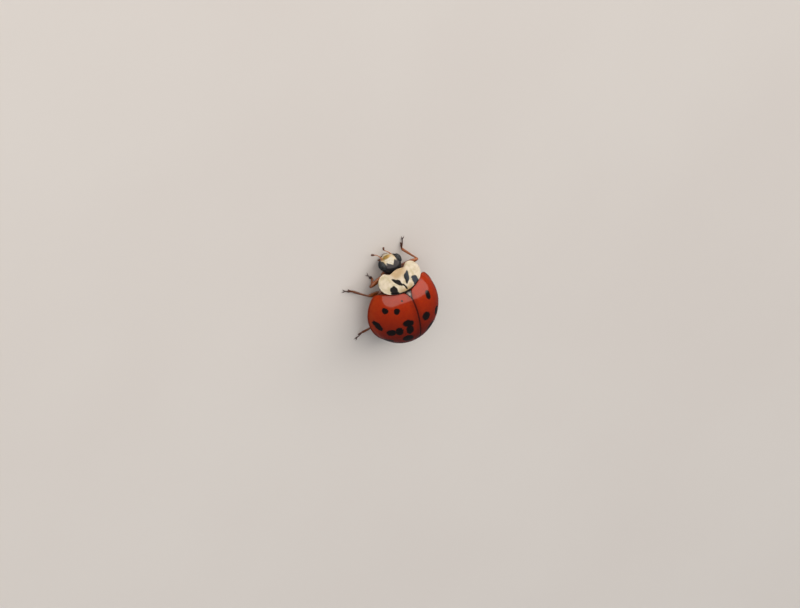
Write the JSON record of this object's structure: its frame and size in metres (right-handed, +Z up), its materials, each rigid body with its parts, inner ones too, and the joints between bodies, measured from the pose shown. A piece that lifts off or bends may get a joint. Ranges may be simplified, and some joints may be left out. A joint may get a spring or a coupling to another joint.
{
  "type": "harlequin ladybird",
  "caption": "Life-size still model of a harlequin ladybird standing with its head lowered, its domed red wing cases closed over the body.",
  "frame": {"origin": "on the floor, under the middle of the model's bounding box", "axes": "+Z up, the animal faces -Y, its left side is +X"},
  "size_m": [0.0074, 0.008, 0.0037],
  "materials": {
    "wing_case": "glossy orange-red chitin with black spots",
    "neck_shield": "glossy cream-white chitin with black marks",
    "horn_black": "glossy black chitin",
    "eye": "finely faceted black compound eye",
    "limb": "satin reddish-brown chitin with fine hairs",
    "belly": "satin red-brown chitin"
  },
  "bodies": {
    "root": {"elytron_left": "wing_case", "elytron_right": "wing_case", "scutellum": "horn_black", "pronotum": "neck_shield", "prothorax": "horn_black", "thorax": "horn_black", "abdomen": "belly", "head": "horn_black", "eye_left": "eye", "eye_right": "eye", "antenna_left": "limb", "antenna_right": "limb", "leg_front_left": "limb", "leg_front_right": "limb", "leg_middle_left": "limb", "leg_middle_right": "limb", "leg_hind_left": "limb", "leg_hind_right": "limb"}
  },
  "joints": []
}
